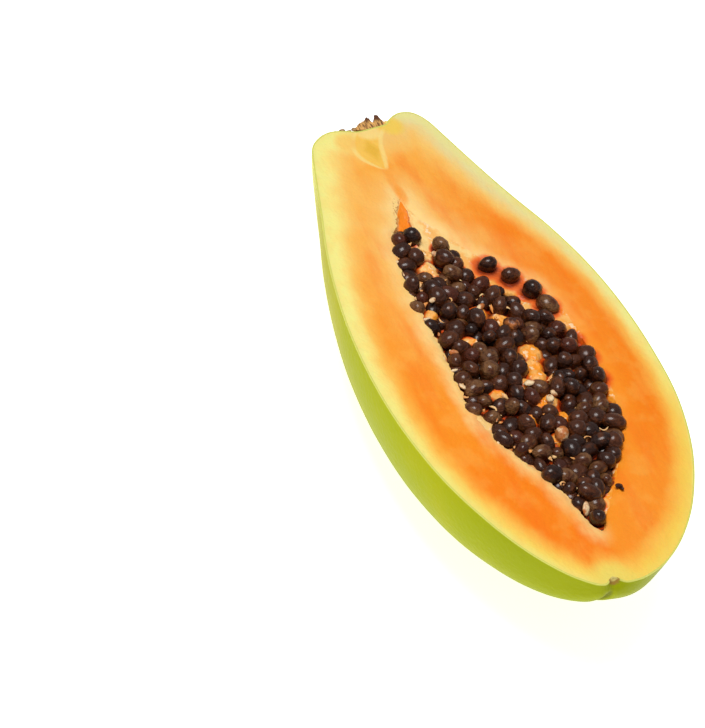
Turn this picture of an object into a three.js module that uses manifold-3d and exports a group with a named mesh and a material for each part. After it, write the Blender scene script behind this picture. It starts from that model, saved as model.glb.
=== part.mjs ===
// Half a papaya, cut lengthwise and lying on its skin with the cut face up, in millimetres.
// X runs from the stem end to the blossom end, Z is up and square to the cut face.
// The skin and flesh grew as one and are one solid. The seeds lie heaped in its cavity, and the
// stub of the stem stands in the pit at the narrow end.
// The half is drawn with its cut face at Z = 0, and the whole group is then lifted on to its base.

import * as THREE from "three";
import { mergeVertices } from "three/addons/utils/BufferGeometryUtils.js";
import Module from "manifold-3d";

// Lines of the fruit, from the stem pit to the blossom scar: place along X, half width, and
// how far the centre of that section lies to the side.
const FRUIT_LINES = [
  [-93.6, 0, -2.3],
  [-93.7, 5.2, -2.3],
  [-94.8, 7.6, -2.8],
  [-95.9, 10.4, -3.3],
  [-96.4, 14.2, -3.8],
  [-94.9, 18.6, -3.9],
  [-91.2, 22.0, -3.8],
  [-85, 24.4, -3.4],
  [-73, 28.4, -2.5],
  [-58, 33.6, -1.5],
  [-43, 39.2, -0.6],
  [-26, 43.9, 0],
  [-8, 46.9, 0.1],
  [12, 48, 0],
  [33, 46.8, -0.1],
  [54, 42, -0.8],
  [72, 34.2, -1.8],
  [85, 25.8, -3],
  [94, 17.2, -4.2],
  [98.8, 9.6, -5.6],
  [100.2, 4.2, -7],
  [99.6, 0, -7.6],
];
const HALF_LENGTH = 100;
const DEPTH_RATIO = 0.94; // depth under the cut face over half width
const BLOSSOM_SHALLOWER = 0.07; // how much less that is at the blossom end
const SHALLOWER_ALONG = [-10, 90]; // where it begins to be less, and where it is least
const REST_DEPTH = 43.6; // the skin is flattened a little where it rests, this far under the cut
const STEM_SLANT = 0.23; // the stem end is cut off aslant by this much for each mm sideways
const SLANT_ALONG = [-60, -95]; // where the slant begins, and where it is full
const RIDGES = 5; // one for each carpel
const RIDGE_BELLY = 0.008; // height of a ridge over half width at mid length
const RIDGE_ENDS = 0.05;

// Opening of the seed cavity in the cut face: place along X, near edge and far edge along Y.
const CAVITY_LINES = [
  [-62, -6.4, -5.4],
  [-56, -9.6, -4.6],
  [-45, -15, 1],
  [-34, -17.8, 8.5],
  [-22, -19.4, 20.5],
  [-6, -20.2, 26.5],
  [12, -21.2, 28],
  [26, -21.8, 27],
  [38, -19.8, 24.5],
  [48, -15.5, 20],
  [58, -10, 13],
  [68, -7, 6],
  [76, -5.2, 1.2],
  [80.5, -2.6, -1.6],
];
const CAVITY_ENDS = [-62, 80.5];
const CAVITY_DEPTH_RATIO = 0.8; // depth of the cavity over its half width
const CUTTER_RISE = 6; // how far the tool that hollows the cavity stands over the cut face

// Seeds in their jelly coats.
const SEED_AXES = [3.5, 2.95, 2.8]; // half lengths, to the corners of a twenty-sided seed
const SEED_VARIATION = 0.1;
const SEED_SPACING = 4.9; // least distance between two centres in the top layer
const SEED_TRIES = 6000;
const SEED_RISE = 0.8; // a centre lies this far above the packed seeds underneath
const SEED_JITTER = 1.3;
const SEED_FROM_WALL = 2.5;
const HEAP_ENDS = [-50, 78];
const HEAP_EDGE = -3.7; // height of the packed seeds beside the wall
const HEAP_CROWN = 3.2; // how much higher they lie in the middle
const HEAP_STEEPNESS = 0.35; // most of that rise over the half width of the cavity
const HEAP_FILM = 1.5; // they cover at least this much of the wall, where it is shallow
const CLEARANCE = 0.35; // between the seeds or the stem and the flesh
const DRAW_SEED = 20260;
const DRAW_MULTIPLIER = 48271;
const DRAW_MODULUS = 2147483647;

// Seeds that lie by themselves along the edge of the heap, on X and Y.
const EDGE_SEEDS = [
  [-43.8, -10.4],
  [-38.8, -2.4],
  [-29.3, 8.9],
  [-23.3, 14.9],
  [-17, 19],
  [-10, 21.7],
  [5, 22.3],
  [11.5, 24.3],
  [21.5, 23.2],
  [33.3, 18.4],
  [39.5, 20.3],
  [47.9, 15.9],
  [75.2, -2],
  [66.3, -0.6],
  [46.9, -11.6],
  [57, -6.9],
];
// Places in the heap where the pale tissue that bears the seeds shows, as X, Y and radius.
const TISSUE_GAPS = [
  [-10.6, 16.8, 3.4],
  [-30.3, -9.7, 2.4],
  [-38.7, -6, 2.6],
  [7.7, 12, 3.2],
  [14.7, 11, 3.2],
  [24.7, 5.4, 2.6],
  [27, 8.8, 2.4],
  [-7.9, 5, 1.4],
  [0.1, -9, 1.6],
  [18.7, 0.9, 1.8],
  [41.2, 2.4, 2.2],
  [33, 8, 1.2],
];

// Stub of the stem: place along X and radius, from its seat in the pit to its torn end.
const STUB_LINES = [
  [-94.2, 0],
  [-94.3, 4.2],
  [-95.6, 5.1],
  [-96.9, 5.9],
  [-98, 5.7],
  [-97.7, 3.8],
  [-97.1, 1.8],
  [-97.3, 0],
];
const STUB_CENTRE_Y = -2.3;
const STUB_TORN = 0.9; // how much the torn end varies in length
const STUB_TORN_FROM = 4; // from this line of the stub on
const TEAR_WAVES = [3, 7]; // round the stub, one on the other

// How finely each surface is divided.
const FRUIT_LENGTHWAYS = 46;
const FRUIT_AROUND = 44;
const CAVITY_LENGTHWAYS = 30;
const CAVITY_AROUND = 12;
const CAVITY_ACROSS = 6;
const CAVITY_POINTS = 241; // on its smooth outline
const STUB_AROUND = 28;

const { clamp, inverseLerp, lerp } = THREE.MathUtils;
const wasm = await Module();
wasm.setup();

// A smooth curve through rows of numbers, for t from 0 to 1: the uniform Catmull-Rom spline,
// with each end mirrored outwards.
function splineThrough(rows) {
  const first = rows[0].map((v, k) => 2 * v - rows[1][k]);
  const last = rows.at(-1).map((v, k) => 2 * v - rows.at(-2)[k]);
  const all = [first, ...rows, last];
  return (t) => {
    const place = clamp(t, 0, 1) * (rows.length - 1);
    const i = Math.min(Math.floor(place), rows.length - 2);
    const f = place - i;
    const [a, b, c, d] = all.slice(i, i + 4);
    return b.map(
      (v, k) =>
        v +
        0.5 * f * (c[k] - a[k]) +
        f * f * (a[k] - 2.5 * v + 2 * c[k] - 0.5 * d[k]) +
        f * f * f * (1.5 * (v - c[k]) + 0.5 * (d[k] - a[k])),
    );
  };
}

// The value of each other column where the first column of the rows is x.
function columnsAt(rows, x) {
  const within = clamp(x, rows[0][0], rows.at(-1)[0]);
  const i = Math.max(rows.findIndex((row) => row[0] >= within), 1);
  const [a, b] = [rows[i - 1], rows[i]];
  const f = inverseLerp(a[0], b[0], within);
  return a.slice(1).map((v, k) => lerp(v, b[k + 1], f));
}

// Turns a place along the straight fruit into one on the slanted stem end.
function slanted(x, sideways, centreY, z) {
  const near = clamp(inverseLerp(...SLANT_ALONG, x), 0, 1);
  const shift = STEM_SLANT * near * near * sideways;
  return new THREE.Vector3(x - shift, centreY + sideways, z);
}

// A closed mesh over rings of points that are alike in number. The first and last ring may be a
// single point repeated.
function loft(rings) {
  const around = rings[0].length;
  const positions = rings.flat().flatMap((p) => [p.x, p.y, p.z]);
  const index = [];
  for (let i = 0; i < rings.length - 1; i++)
    for (let j = 0; j < around; j++) {
      const k = (j + 1) % around;
      const [a, b, c, d] = [
        i * around + j,
        i * around + k,
        (i + 1) * around + k,
        (i + 1) * around + j,
      ];
      index.push(a, c, b, a, d, c);
    }
  return new THREE.BufferGeometry()
    .setAttribute("position", new THREE.Float32BufferAttribute(positions, 3))
    .setIndex(index);
}

// A geometry as a solid that can be joined and cut.
function solidOf(geometry) {
  const bare = geometry.clone();
  bare.deleteAttribute("normal");
  bare.deleteAttribute("uv");
  const merged = mergeVertices(bare, 1e-3);
  const corners = [];
  for (let i = 0; i < merged.index.count; i += 3) {
    const [a, b, c] = [0, 1, 2].map((k) => merged.index.getX(i + k));
    if (a !== b && b !== c && c !== a) corners.push(a, b, c);
  }
  return new wasm.Manifold(
    new wasm.Mesh({
      numProp: 3,
      vertProperties: merged.attributes.position.array,
      triVerts: new Uint32Array(corners),
    }),
  );
}

function geometryOf(solid) {
  const { numProp, numVert, vertProperties, triVerts } = solid.getMesh();
  const positions = new Float32Array(numVert * 3);
  for (let i = 0; i < numVert; i++)
    positions.set(vertProperties.subarray(i * numProp, i * numProp + 3), i * 3);
  const made = new THREE.BufferGeometry()
    .setAttribute("position", new THREE.BufferAttribute(positions, 3))
    .setIndex(new THREE.BufferAttribute(triVerts, 1));
  made.computeVertexNormals();
  return made;
}

// What is left of a solid under the cut.
function lowerHalf(solid) {
  const size = 4 * HALF_LENGTH;
  const above = new THREE.BoxGeometry(size, size, size).translate(0, 0, size / 2);
  return solid.subtract(solidOf(above));
}

// The half without its cavity: rings round the whole fruit, of which the part under the cut stays.
function fruitBody() {
  const lines = splineThrough(FRUIT_LINES);
  const rings = [];
  for (let i = 0; i <= FRUIT_LENGTHWAYS; i++) {
    const [x, halfWidth, centreY] = lines(i / FRUIT_LENGTHWAYS);
    const ridge = lerp(RIDGE_BELLY, RIDGE_ENDS, (x / HALF_LENGTH) ** 4);
    const shallower = clamp(inverseLerp(...SHALLOWER_ALONG, x), 0, 1);
    const depthRatio = DEPTH_RATIO - BLOSSOM_SHALLOWER * shallower;
    const ring = [];
    for (let j = 0; j < FRUIT_AROUND; j++) {
      const angle = (2 * Math.PI * j) / FRUIT_AROUND;
      const r = Math.max(halfWidth, 0) * (1 - ridge * Math.sin(RIDGES * angle));
      const depth = Math.min(depthRatio * r * Math.sin(angle), REST_DEPTH);
      ring.push(slanted(x, r * Math.cos(angle), centreY, -depth));
    }
    rings.push(ring);
  }
  return lowerHalf(solidOf(loft(rings)));
}

const cavitySpline = splineThrough(CAVITY_LINES);
const smoothCavity = Array.from({ length: CAVITY_POINTS }, (_, i) =>
  cavitySpline(i / (CAVITY_POINTS - 1)),
);

// Centre, half width and depth of the cavity at a place along X.
function cavityAt(x) {
  const [near, far] = columnsAt(smoothCavity, x);
  const half = (far - near) / 2;
  return { centre: (near + far) / 2, half, depth: CAVITY_DEPTH_RATIO * half };
}

// Height of the packed seeds beside the wall, and how much higher they are heaped in the middle.
function heapAt(x) {
  const { half, depth } = cavityAt(x);
  return {
    edge: Math.max(HEAP_EDGE, HEAP_FILM - depth),
    crown: Math.min(HEAP_CROWN, HEAP_STEEPNESS * half),
  };
}

// A solid that fills the cavity from one place along X to another, its wall drawn in by inset.
// Its upper side is at the height edge beside the wall and higher by crown in the middle.
function cavityFilling([from, to], inset, heightsAt) {
  const rings = [];
  for (let i = 0; i <= CAVITY_LENGTHWAYS; i++) {
    const x = lerp(from, to, i / CAVITY_LENGTHWAYS);
    const { centre, half, depth } = cavityAt(x);
    const { edge, crown } = heightsAt(x);
    const isEnd = i === 0 || i === CAVITY_LENGTHWAYS;
    const [width, down] = [half - inset, depth - inset];
    const start = edge < 0 ? Math.asin(Math.min(-edge / down, 1)) : 0;
    const ring = [];
    for (let j = 0; j <= CAVITY_AROUND; j++) {
      const angle = start + ((Math.PI - 2 * start) * j) / CAVITY_AROUND;
      ring.push(
        new THREE.Vector3(x, centre + width * Math.cos(angle), -down * Math.sin(angle)),
      );
    }
    for (let j = 0; j <= CAVITY_ACROSS; j++) {
      const u = (2 * j) / CAVITY_ACROSS - 1;
      const y = centre + width * Math.cos(start) * u;
      ring.push(new THREE.Vector3(x, y, edge + crown * (1 - u * u)));
    }
    const tip = new THREE.Vector3(x, centre, Math.min(edge, 0));
    rings.push(isEnd ? ring.map(() => tip) : ring);
  }
  return solidOf(loft(rings));
}

const overTheCut = () => ({ edge: CUTTER_RISE, crown: 0 });

// Height of a seed's centre over the heap.
function seedHeight(x, y) {
  const { centre, half } = cavityAt(x);
  const { edge, crown } = heapAt(x);
  const across = Math.min(Math.abs((y - centre) / half), 1);
  return edge + crown * (1 - across * across) + SEED_RISE;
}

// Evenly spread numbers from 0 to 1, the same on each run.
function drawsFrom(start) {
  let state = start;
  return () => {
    state = (state * DRAW_MULTIPLIER) % DRAW_MODULUS;
    return state / DRAW_MODULUS;
  };
}

// Centres of the top layer: the edge seeds, and then every random place that is in the cavity,
// clear of a gap and far enough from the seeds already there.
function seedCentres(draw) {
  const centres = EDGE_SEEDS.map(
    ([x, y]) => new THREE.Vector3(x, y, seedHeight(x, y)),
  );
  for (let n = 0; n < SEED_TRIES; n++) {
    const x = lerp(...HEAP_ENDS, draw());
    const { centre, half } = cavityAt(x);
    const y = centre + half * (2 * draw() - 1);
    const z = seedHeight(x, y) - SEED_JITTER * draw();
    const place = new THREE.Vector3(x, y, z);
    const byWall = half - Math.abs(y - centre) < SEED_FROM_WALL;
    const inGap = TISSUE_GAPS.some(
      ([gx, gy, r]) => Math.hypot(x - gx, y - gy) < r + SEED_AXES[2] / 2,
    );
    const tooClose = centres.some((c) => c.distanceTo(place) < SEED_SPACING);
    if (!byWall && !inGap && !tooClose) centres.push(place);
  }
  return centres;
}

// The heap: every seed of the top layer, joined to the packed mass of seeds beneath it, and
// trimmed clear of the cavity wall and of the cut face. Only its one largest surface is kept, so
// the small closed gaps between the seeds are filled.
function seedHeap() {
  const draw = drawsFrom(DRAW_SEED);
  const centres = seedCentres(draw);
  const shape = new THREE.IcosahedronGeometry(1);
  let heap = cavityFilling(HEAP_ENDS, 2 * CLEARANCE, heapAt);
  for (const centre of centres) {
    const size = 1 + SEED_VARIATION * (2 * draw() - 1);
    const [a, b, c, d] = [1, 2, 3, 4].map(() => 2 * draw() - 1);
    const turn = new THREE.Quaternion(a, b, c, d).normalize();
    const scale = new THREE.Vector3(...SEED_AXES).multiplyScalar(size);
    const placed = new THREE.Matrix4().compose(centre, turn, scale);
    heap = heap.add(solidOf(shape.clone().applyMatrix4(placed)));
  }
  const room = cavityFilling(CAVITY_ENDS, CLEARANCE, overTheCut);
  const above = new THREE.BoxGeometry(2 * HALF_LENGTH, HALF_LENGTH, CUTTER_RISE);
  above.translate(0, 0, CUTTER_RISE / 2 + CLEARANCE);
  const trimmed = heap.intersect(room.add(solidOf(above)));
  const pieces = solidOf(geometryOf(trimmed)).decompose();
  return pieces.reduce((a, b) => (b.volume() > a.volume() ? b : a));
}

// The stub: rings about the stem's own centre, torn to uneven length at the outer end.
function stemStub() {
  const rings = STUB_LINES.map(([x, radius], i) => {
    const torn = i >= STUB_TORN_FROM && radius > 0 ? STUB_TORN : 0;
    const ring = [];
    for (let j = 0; j < STUB_AROUND; j++) {
      const angle = (2 * Math.PI * j) / STUB_AROUND;
      const [few, many] = TEAR_WAVES.map((waves) => Math.sin(waves * angle + 2 * i));
      const [across, down] = [radius * Math.cos(angle), radius * Math.sin(angle)];
      ring.push(slanted(x + torn * few * many, across, STUB_CENTRE_Y, -down));
    }
    return ring;
  });
  return lowerHalf(solidOf(loft(rings.reverse())));
}

function named(name, solid, colour, roughness) {
  const material = new THREE.MeshStandardMaterial({
    color: colour,
    roughness,
    metalness: 0,
  });
  const mesh = new THREE.Mesh(geometryOf(solid), material);
  mesh.name = name;
  return mesh;
}

const cavity = cavityFilling(CAVITY_ENDS, 0, overTheCut);
const papaya = new THREE.Group();
papaya.add(
  named("half_fruit", fruitBody().subtract(cavity), 0xf7973a, 0.45),
  named("seeds", seedHeap(), 0x2a1e1b, 0.3),
  named("stem_stub", stemStub(), 0x8a5a2b, 0.85),
);

// The origin is under the middle of the box round the half, on the surface that it rests on.
const box = new THREE.Box3().setFromObject(papaya);
papaya.position.set(
  -(box.min.x + box.max.x) / 2,
  -(box.min.y + box.max.y) / 2,
  -box.min.z,
);

export default papaya;
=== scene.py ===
"""Half a papaya, cut lengthwise and lying on its skin, with the cut face up.

Sizes are in millimetres and are drawn with the cut face at Z = 0, as in the CAD source: X runs
from the stem end to the blossom end and Z is up. Each mesh is then fitted to the CAD frame.
"""

import bpy
import numpy as np
from mathutils import Matrix, Vector


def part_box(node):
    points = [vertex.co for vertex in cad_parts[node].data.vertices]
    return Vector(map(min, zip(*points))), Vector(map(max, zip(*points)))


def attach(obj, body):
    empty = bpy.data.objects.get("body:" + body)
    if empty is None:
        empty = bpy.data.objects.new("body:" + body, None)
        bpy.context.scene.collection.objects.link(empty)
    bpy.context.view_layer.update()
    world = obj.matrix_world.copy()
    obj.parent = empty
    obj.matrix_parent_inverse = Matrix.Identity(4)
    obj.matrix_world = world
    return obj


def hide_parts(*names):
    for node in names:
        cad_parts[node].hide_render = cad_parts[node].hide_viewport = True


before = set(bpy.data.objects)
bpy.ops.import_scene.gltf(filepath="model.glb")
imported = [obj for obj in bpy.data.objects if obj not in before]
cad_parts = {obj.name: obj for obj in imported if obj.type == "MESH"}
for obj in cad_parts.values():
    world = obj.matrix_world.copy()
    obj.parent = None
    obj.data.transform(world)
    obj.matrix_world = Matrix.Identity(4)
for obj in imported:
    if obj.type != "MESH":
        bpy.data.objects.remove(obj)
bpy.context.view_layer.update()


# Peel: the waxy skin of the fruit, green turning yellow, about half a millimetre thick. It grew
# on the flesh, and the knife left its edge showing as a fine pale line round the cut face.

FRUIT_LINES = [  # place along X, half width, and how far the centre lies to the side
    [-93.6, 0, -2.3],
    [-93.7, 5.2, -2.3],
    [-94.8, 7.6, -2.8],
    [-95.9, 10.4, -3.3],
    [-96.4, 14.2, -3.8],
    [-94.9, 18.6, -3.9],
    [-91.2, 22, -3.8],
    [-85, 24.4, -3.4],
    [-73, 28.4, -2.5],
    [-58, 33.6, -1.5],
    [-43, 39.2, -0.6],
    [-26, 43.9, 0],
    [-8, 46.9, 0.1],
    [12, 48, 0],
    [33, 46.8, -0.1],
    [54, 42, -0.8],
    [72, 34.2, -1.8],
    [85, 25.8, -3],
    [94, 17.2, -4.2],
    [98.8, 9.6, -5.6],
    [100.2, 4.2, -7],
    [99.6, 0, -7.6],
]
REST_DEPTH = 43.6
STEM_SLANT = 0.23
SLANT_START = -60
SLANT_LENGTH = 35
RIDGES = 5
PEEL_THICKNESS = 0.5
SCAR_SIDE = -7.6
SCAR_RADIUS = 2.1
SCAR_DEPTH = 1.7
CREASE_ANGLE = 1.8
CREASE_DEPTH = 1.6
STATIONS = 300
PEEL_COLUMNS = 80


def spline_through(rows, steps):
    """Rows of numbers at steps from 0 to 1 along the smooth curve (uniform Catmull-Rom) that
    passes through the given rows, with each end mirrored outwards."""
    rows = np.array(rows, float)
    rows = np.vstack([2 * rows[0] - rows[1], rows, 2 * rows[-1] - rows[-2]])
    place = np.clip(steps, 0, 1) * (len(rows) - 3)
    i = np.minimum(place.astype(int), len(rows) - 4)
    f = (place - i)[:, None]
    a, b, c, d = (rows[i + k] for k in range(4))
    return (
        b
        + f * (c - a) / 2
        + f**2 * (a - 2.5 * b + 2 * c - d / 2)
        + f**3 * (1.5 * (b - c) + (d - a) / 2)
    )


def points_at(x, y, z):
    """One array of points from arrays of their X, Y and Z, stretched to the same size."""
    return np.stack(np.broadcast_arrays(x, y, z), -1)


def slanted(x, sideways, centre, z):
    """Points of the straight fruit, moved as its slanting stem end is: along X by a share of the
    distance sideways, which grows to the full slant at the stem."""
    near_stem = np.clip((SLANT_START - x) / SLANT_LENGTH, 0, 1)
    return points_at(x - STEM_SLANT * near_stem**2 * sideways, centre + sideways, z)


def fruit_surface(steps, angles):
    """Skin under the cut, as a grid of points: at each step along the fruit a half ring, a little
    shallower than it is wide, with five soft ridges that grow with the fourth power of the
    distance from the middle, and cut off flat where the fruit rests."""
    x, half, centre = spline_through(FRUIT_LINES, steps).T[:, :, None]
    ridge = 0.008 + 0.042 * (x / 100) ** 4
    depth_ratio = 0.94 - 0.07 * np.clip((x + 10) / 100, 0, 1)
    radius = np.maximum(half, 0) * (1 - ridge * np.sin(RIDGES * angles))
    depth = np.minimum(depth_ratio * radius * np.sin(angles), REST_DEPTH)
    return slanted(x, radius * np.cos(angles), centre, -depth)


def steps_along(curve, count):
    """Steps from 0 to 1 that are evenly spaced by length along a curve given at even steps."""
    lengths = np.linalg.norm(np.diff(curve, axis=0), axis=-1).reshape(len(curve) - 1, -1)
    travelled = np.insert(np.cumsum(lengths.mean(1)), 0, 0)
    even = np.linspace(0, travelled[-1], count)
    return np.interp(even, travelled, np.linspace(0, 1, len(curve)))


fine_steps = np.linspace(0, 1, 3000)
rim_angles = np.array([0, np.pi])
stations = steps_along(fruit_surface(fine_steps, rim_angles), STATIONS)
lower_angles = np.linspace(0, np.pi, PEEL_COLUMNS)
skin = fruit_surface(stations, lower_angles)
drawn_low, drawn_high = skin.min((0, 1)), skin.max((0, 1))
box_low, box_high = np.array(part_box("half_fruit"))


def in_frame(points):
    """Points in the CAD frame, in metres, from points in millimetres as drawn."""
    return box_low + (points - drawn_low) * (box_high - box_low) / (drawn_high - drawn_low)


def add_mesh(name, points, faces, values=None, sharp=40):
    """An object from points in millimetres and faces, welded where points coincide and fitted
    to the CAD frame. Values are named numbers, one for each point. The volume, a sum over the
    faces, comes out negative where they point inwards, and they are then turned round."""
    points = points.reshape(-1, 3)
    _, first, same = np.unique(
        np.round(points, 4), axis=0, return_index=True, return_inverse=True
    )
    faces = [list(dict.fromkeys(face)) for face in same.ravel()[faces].tolist()]
    mesh = bpy.data.meshes.new(name)
    mesh.from_pydata(in_frame(points[first]), [], [f for f in faces if len(f) > 2])
    for key, numbers in (values or {}).items():
        stored = mesh.attributes.new(key, "FLOAT", "POINT")
        stored.data.foreach_set("value", np.ascontiguousarray(numbers.ravel()[first], float))
    areas, middles, normals = (np.empty(size * len(mesh.polygons)) for size in (1, 3, 3))
    mesh.polygons.foreach_get("area", areas)
    mesh.polygons.foreach_get("center", middles)
    mesh.polygons.foreach_get("normal", normals)
    if (middles * normals).reshape(-1, 3).sum(1) @ areas < 0:
        mesh.flip_normals()
    mesh.shade_smooth()
    mesh.set_sharp_from_angle(angle=np.radians(sharp))
    made = bpy.data.objects.new(name, mesh)
    bpy.context.scene.collection.objects.link(made)
    return made


def loft(rings, around):
    """Faces that join rings of points in a row, each a closed line of the same count."""
    a, b = np.meshgrid(np.arange(rings - 1), np.arange(around), indexing="ij")
    c = (b + 1) % around
    corners = [a * around + b, (a + 1) * around + b, (a + 1) * around + c, a * around + c]
    return np.stack(corners, -1).reshape(-1, 4)


class Shade:
    """An output of a material's nodes. Sums with it add Math nodes."""

    def __init__(self, tree, socket=None):
        self.tree = tree
        self.socket = socket

    def node(self, kind, output, inputs, **settings):
        """Any other node: its kind, the output wanted, its inputs by name or number, each a
        value or a Shade, and its settings."""
        made = self.tree.nodes.new("ShaderNode" + kind)
        for key, value in settings.items():
            setattr(made, key, value)
        for key, value in inputs.items():
            if isinstance(value, Shade):
                self.tree.links.new(value.socket, made.inputs[key])
            else:
                made.inputs[key].default_value = value
        return Shade(self.tree, made.outputs[output])

    def sum(self, operation, *values):
        """A Math node on these values."""
        return self.node("Math", 0, dict(enumerate(values)), operation=operation)

    def __add__(self, other):
        return self.sum("ADD", self, other)

    def __sub__(self, other):
        return self.sum("SUBTRACT", self, other)

    def __rsub__(self, other):
        return self.sum("SUBTRACT", other, self)

    def __mul__(self, other):
        return self.sum("MULTIPLY", self, other)

    def __truediv__(self, other):
        return self.sum("DIVIDE", self, other)

    def __pow__(self, other):
        return self.sum("POWER", self, other)

    def __abs__(self):
        return self.sum("ABSOLUTE", self)

    __radd__ = __add__
    __rmul__ = __mul__

    def rise(self, low, high):
        """0 where this is at low, smoothly up to 1 where it is at high."""
        inputs = {"Value": self, "From Min": low, "From Max": high}
        return self.node("MapRange", 0, inputs, interpolation_type="SMOOTHSTEP")

    def mix(self, first, second):
        """The first colour where this is 0 and the second where it is 1."""
        return self.node("Mix", 2, {0: self, 6: first, 7: second}, data_type="RGBA")

    def noise(self, scale, detail):
        """Soft random numbers about 0.5 over this vector."""
        return self.node("TexNoise", 0, {"Vector": self, "Scale": scale, "Detail": detail})

    def bump(self, depth):
        """A normal for a surface raised by this many times the depth, in millimetres."""
        return self.node("Bump", 0, {"Height": self, "Distance": depth / 1000})

    def parts(self):
        """The X, Y and Z of this vector."""
        return [self.node("SeparateXYZ", axis, {0: self}) for axis in "XYZ"]

    def lengthened(self):
        """This place with X at a quarter, which draws a pattern out along the fruit."""
        return self.node("VectorMath", 0, {0: self, 1: (0.25, 1, 1)}, operation="MULTIPLY")

    def attribute(self, name):
        """The numbers that the mesh holds under this name."""
        return self.node("Attribute", "Fac", {}, attribute_name=name)

    def feed(self, surface, name):
        """Links this to the surface's input of that name."""
        self.tree.links.new(self.socket, surface.inputs[name])


def new_material(piece, constants):
    """Gives a piece one Principled surface with these constants. Returns the surface and the
    place as a vector in millimetres, with Z = 0 at the cut face."""
    material = bpy.data.materials.new(piece.name)
    material.use_nodes = True
    piece.data.materials.append(material)
    surface = material.node_tree.nodes["Principled BSDF"]
    for key, value in constants.items():
        surface.inputs[key].default_value = value
    tree = Shade(material.node_tree)
    metres = tree.node("TexCoord", "Object", {})
    lifted = {0: metres, 1: (1000,) * 3, 2: (0, 0, -REST_DEPTH)}
    return surface, tree.node("VectorMath", 0, lifted, operation="MULTIPLY_ADD")


def colour(red, green, blue):
    """A colour for a socket, from its numbers out of 255 as on a screen."""
    shown = np.array([red, green, blue]) / 255
    linear = np.where(shown > 0.04045, ((shown + 0.055) / 1.055) ** 2.4, shown / 12.92)
    return (*linear.tolist(), 1)


# The blossom scar is a round dent, and one crease runs from it down the end of the fruit.
from_scar = np.hypot(skin[..., 1] - SCAR_SIDE, skin[..., 2])
at_blossom = skin[..., 0] > 80
skin[..., 0] -= at_blossom * SCAR_DEPTH * np.exp(-((from_scar / SCAR_RADIUS) ** 2))
crease = np.exp(-(((lower_angles - CREASE_ANGLE) * from_scar / 1.1) ** 2)) * (from_scar / 6) ** 2
crease *= np.exp(-((from_scar / 11) ** 2)) * at_blossom
skin[..., 0] -= CREASE_DEPTH * crease

# The underside of the peel lies straight in from the skin, and level with it at the cut.
lengthways, around = np.gradient(skin, axis=(0, 1))
inward = np.cross(lengthways, around)
inward[:, [0, -1], 2] = 0
inward /= np.maximum(np.linalg.norm(inward, axis=-1, keepdims=True), 1e-9)
inward *= np.sign(inward[STATIONS // 2, PEEL_COLUMNS // 2, 2])
inward[0] = [1, 0, 0]
inward[-1] = [-1, 0, 0]
under_skin = skin + PEEL_THICKNESS * inward

peel_rings = np.concatenate([skin, under_skin[:, ::-1]], axis=1)
peel = add_mesh(
    "peel",
    peel_rings,
    loft(STATIONS, 2 * PEEL_COLUMNS),
    {"crease": np.concatenate([crease, 0 * crease], axis=1)},
)
surface, place = new_material(peel, {"Roughness": 0.4, "Specular IOR Level": 0.02})
x, y, z = place.parts()
patches = place.noise(0.03, detail=3.0).rise(0.35, 0.7)
skin_colour = (z * -1).rise(0, 34).mix(colour(164, 170, 6), colour(148, 156, 5))
skin_colour = (patches * 0.5).mix(skin_colour, colour(178, 172, 8))
blossom_green = x.rise(45, 85) * 0.8
skin_colour = blossom_green.mix(skin_colour, colour(146, 156, 16))
yellower = (1 - x.rise(-60, 10)) * 0.5
skin_colour = yellower.mix(skin_colour, colour(186, 172, 6))
stem_yellow = 1 - x.rise(-92, -50)
skin_colour = (stem_yellow * 0.8).mix(skin_colour, colour(232, 228, 124))
freckles = place.noise(1.1, detail=1.0).rise(0.68, 0.76)
skin_colour = (freckles * 0.25).mix(skin_colour, colour(140, 138, 40))
# Painted shade: the skin is darker along the crease at the blossom end.
painted_crease_shade = place.attribute("crease").rise(0.1, 0.6) * 0.7
skin_colour = painted_crease_shade.mix(skin_colour, colour(96, 98, 14))
cut_edge = z.rise(-0.5, -0.05)
skin_colour = cut_edge.mix(skin_colour, colour(214, 212, 106))
from_scar = ((y - SCAR_SIDE) ** 2 + z**2) ** 0.5
from_scar += (place.noise(0.8, detail=2.0) - 0.5) * 1.2
at_blossom = x.rise(92, 95)
scar = (1 - from_scar.rise(1.5, 2.1)) * at_blossom
skin_colour = (scar * 0.9).mix(skin_colour, colour(160, 120, 58))
scar_middle = (1 - from_scar.rise(0.8, 1.3)) * at_blossom
skin_colour = scar_middle.mix(skin_colour, colour(208, 190, 112))
skin_colour.feed(surface, "Base Color")
place.noise(0.6, detail=2.0).bump(0.2).feed(surface, "Normal")
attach(peel, "root")
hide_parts("half_fruit")


# Flesh: the soft orange wall of the fruit, cut through by the knife, and hollowed by the seed
# cavity. It grew with the peel, fades to pale yellow beside it, and is moist on the cut face.

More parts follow.
